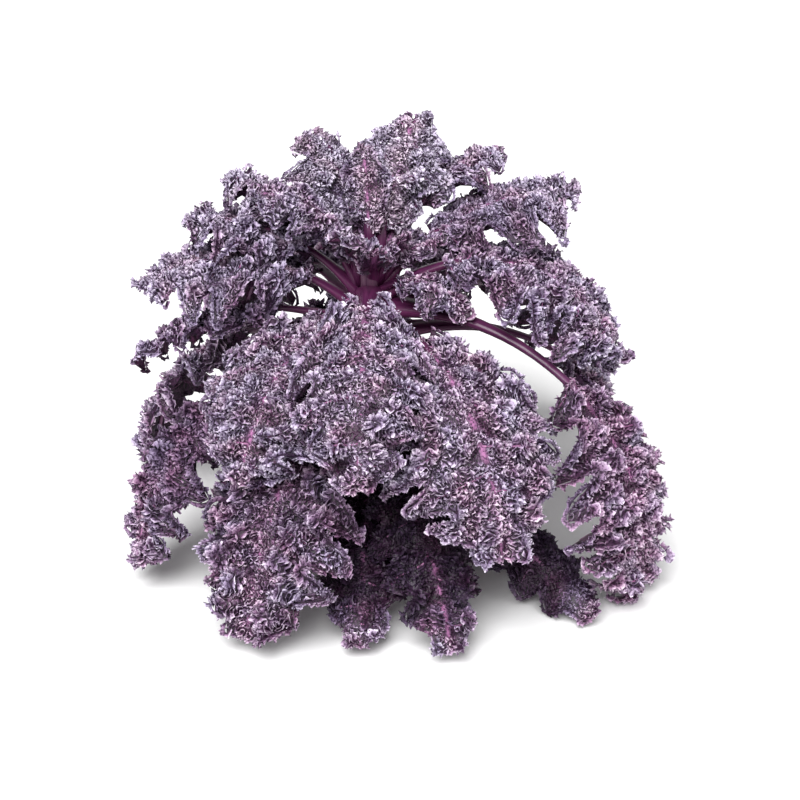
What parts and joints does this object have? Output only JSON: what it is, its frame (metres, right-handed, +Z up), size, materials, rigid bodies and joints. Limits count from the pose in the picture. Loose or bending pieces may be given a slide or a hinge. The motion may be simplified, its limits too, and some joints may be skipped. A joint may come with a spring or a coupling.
{
  "type": "purple kale bunch",
  "caption": "Cut head of purple curly kale: a thick stem with lobed, ruffled leaves that arch out and hang down all round it.",
  "frame": {"origin": "middle of the whole head's box in plan, on the surface that the cut stem stands on", "axes": "+Z up along the stem, -Y towards the front that the picture shows, +X to its right"},
  "size_m": [0.5462, 0.573, 0.3992],
  "materials": {
    "stem": "woody green-purple stem, matte, with leaf scars",
    "stalk": "smooth magenta-purple leaf stalk, semi-gloss",
    "blade": "frilled purple leaf with pale lavender edges, waxy matte"
  },
  "bodies": {
    "root": {"stem": "stem", "leaf_01_stalk": "stalk", "leaf_01_blade": "blade", "leaf_02_stalk": "stalk", "leaf_02_blade": "blade", "leaf_03_stalk": "stalk", "leaf_03_blade": "blade", "leaf_04_stalk": "stalk", "leaf_04_blade": "blade", "leaf_05_stalk": "stalk", "leaf_05_blade": "blade", "leaf_06_stalk": "stalk", "leaf_06_blade": "blade", "leaf_07_stalk": "stalk", "leaf_07_blade": "blade", "leaf_08_stalk": "stalk", "leaf_08_blade": "blade", "leaf_09_stalk": "stalk", "leaf_09_blade": "blade", "leaf_10_stalk": "stalk", "leaf_10_blade": "blade", "leaf_11_stalk": "stalk", "leaf_11_blade": "blade", "leaf_12_stalk": "stalk", "leaf_12_blade": "blade", "leaf_13_stalk": "stalk", "leaf_13_blade": "blade", "leaf_14_stalk": "stalk", "leaf_14_blade": "blade", "leaf_15_stalk": "stalk", "leaf_15_blade": "blade", "leaf_16_stalk": "stalk", "leaf_16_blade": "blade", "leaf_17_stalk": "stalk", "leaf_17_blade": "blade", "leaf_18_stalk": "stalk", "leaf_18_blade": "blade", "leaf_19_stalk": "stalk", "leaf_19_blade": "blade", "leaf_20_stalk": "stalk", "leaf_20_blade": "blade", "leaf_21_stalk": "stalk", "leaf_21_blade": "blade", "leaf_22_stalk": "stalk", "leaf_22_blade": "blade", "leaf_23_stalk": "stalk", "leaf_23_blade": "blade", "leaf_24_stalk": "stalk", "leaf_24_blade": "blade", "leaf_25_stalk": "stalk", "leaf_25_blade": "blade", "leaf_26_stalk": "stalk", "leaf_26_blade": "blade", "leaf_27_stalk": "stalk", "leaf_27_blade": "blade", "leaf_28_stalk": "stalk", "leaf_28_blade": "blade", "leaf_29_stalk": "stalk", "leaf_29_blade": "blade"}
  },
  "joints": []
}
